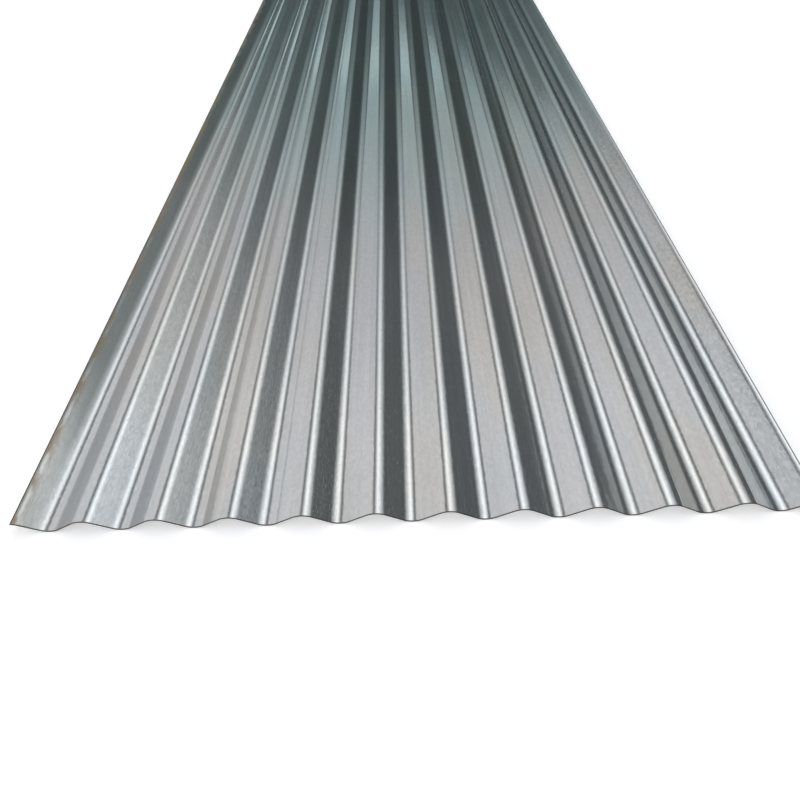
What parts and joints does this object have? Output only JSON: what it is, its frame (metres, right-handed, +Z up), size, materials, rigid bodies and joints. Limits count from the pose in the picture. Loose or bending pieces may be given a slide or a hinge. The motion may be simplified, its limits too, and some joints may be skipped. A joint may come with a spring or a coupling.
{
  "type": "corrugated metal sheet",
  "caption": "Galvanised steel sheet rolled into even round waves along its length, with square-cut ends, for roofing and cladding.",
  "frame": {"origin": "on the floor under the middle of the sheet, where the middle trough touches it", "axes": "+X across the waves, +Y along the waves away from the near cut end, +Z up, crests upward"},
  "size_m": [0.8294, 2.4, 0.0165],
  "materials": {
    "galvanised_steel": "bare hot-dip zinc, semi-gloss, faint streaks along the waves"
  },
  "bodies": {
    "root": {"corrugated_sheet": "galvanised_steel"}
  },
  "joints": []
}
